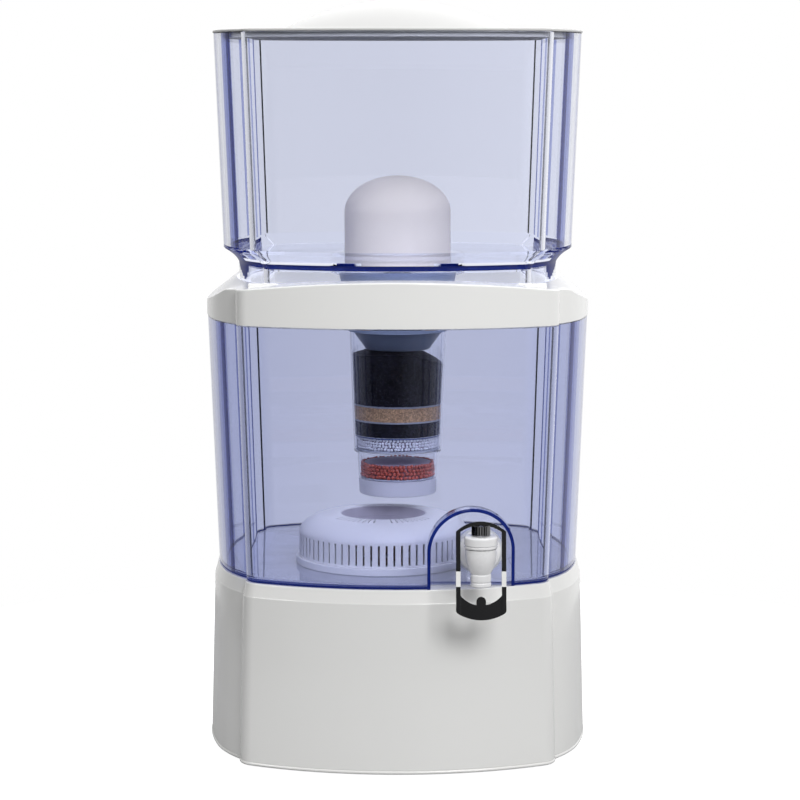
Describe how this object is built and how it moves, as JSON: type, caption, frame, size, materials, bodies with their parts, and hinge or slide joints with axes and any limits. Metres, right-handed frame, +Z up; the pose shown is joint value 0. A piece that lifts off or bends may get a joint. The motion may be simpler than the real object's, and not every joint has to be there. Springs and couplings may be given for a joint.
{
  "type": "gravity water filter with tap",
  "caption": "Gravity water filter: tinted upper tank with ceramic dome and layered cartridge over a tinted lower tank on a white pedestal, emptied by a chrome lever tap.",
  "frame": {"origin": "on the surface it stands on, under the middle of the whole appliance with its tap", "axes": "+Z up, front with the tap towards -Y, +X to the right as seen from the front"},
  "size_m": [0.321, 0.35, 0.62],
  "materials": {
    "white_shell": "gloss white moulding",
    "rubber": "matt",
    "blue_tint_lower": "clear, tinted blue",
    "blue_tint_upper": "clear, tinted blue",
    "ceramic": "fine unglazed ceramic",
    "white_plastic": "satin moulding",
    "silicone": "translucent silicone",
    "grey_blue_plastic": "satin moulding",
    "clear_plastic": "clear",
    "carbon": "coarse granules",
    "sand": "coarse grains",
    "white_balls": "small ceramic balls",
    "red_balls": "small ceramic balls",
    "pad_felt": "felt",
    "frosted_plastic": "frosted",
    "case_plastic": "satin moulding",
    "stone": "tumbled stone",
    "tap_plastic": "satin moulding",
    "steel": "bright",
    "chrome_lever": "mirror plating"
  },
  "bodies": {
    "base_stand": {"base": "white_shell", "rubber_feet": "rubber"},
    "lower_tank": {"lower_tank": "blue_tint_lower", "tap_body": "tap_plastic", "tap_nozzle": "tap_plastic", "tap_bonnet": "tap_plastic", "tap_outer_washer": "silicone", "tap_inner_washer": "silicone", "tap_nut": "white_plastic"},
    "mineral_case": {"mineral_case_base": "case_plastic", "mineral_case_top": "case_plastic", "mineral_stones": "stone"},
    "valve": {"valve_rod": "steel", "valve_seat": "silicone", "valve_spring": "steel"},
    "lever": {"tap_lever": "chrome_lever", "lever_pin": "steel"},
    "collar": {"collar": "white_shell"},
    "upper_tank": {"upper_tank": "blue_tint_upper", "ceramic_dome": "ceramic", "dome_plate": "white_plastic", "dome_gasket": "silicone", "dome_lock_nut": "white_plastic", "cartridge_cap": "grey_blue_plastic", "cartridge_housing": "clear_plastic", "carbon_bed": "carbon", "sand_bed": "sand", "fine_carbon_bed": "carbon", "white_ball_bed": "white_balls", "red_ball_bed": "red_balls", "separator_pads": "pad_felt", "cartridge_end_cup": "frosted_plastic"},
    "lid": {"lid": "white_shell"}
  },
  "joints": [
    {"name": "tank_lift", "type": "slide", "parent": "base_stand", "child": "lower_tank", "axis": [0, 0, 1], "range_m": [0, 0.06]},
    {"name": "case_lift", "type": "slide", "parent": "lower_tank", "child": "mineral_case", "axis": [0, 0, 1], "range_m": [0, 0.009]},
    {"name": "valve_lift", "type": "slide", "parent": "lower_tank", "child": "valve", "axis": [0, 0, 1], "range_m": [0, 0.003], "stiffness_N_per_m": 150, "springref_m": -0.02, "deforming": ["valve_spring"]},
    {"name": "lever_push", "type": "hinge", "parent": "valve", "child": "lever", "pos_m": [0.0658, -0.15748, 0.203], "axis": [1, 0, 0], "range_deg": [0, 22], "stiffness_Nm_per_rad": 0.1, "springref_deg": -28.65},
    {"name": "collar_lift", "type": "slide", "parent": "lower_tank", "child": "collar", "axis": [0, 0, 1], "range_m": [0, 0.05]},
    {"name": "upper_lift", "type": "slide", "parent": "collar", "child": "upper_tank", "axis": [0, 0, 1], "range_m": [0, 0.26]},
    {"name": "lid_lift", "type": "slide", "parent": "upper_tank", "child": "lid", "axis": [0, 0, 1], "range_m": [0, 0.08]}
  ],
  "couplings": [
    {"joint": "valve_lift", "follows": "lever_push", "m_per_rad": 0.00781}
  ]
}
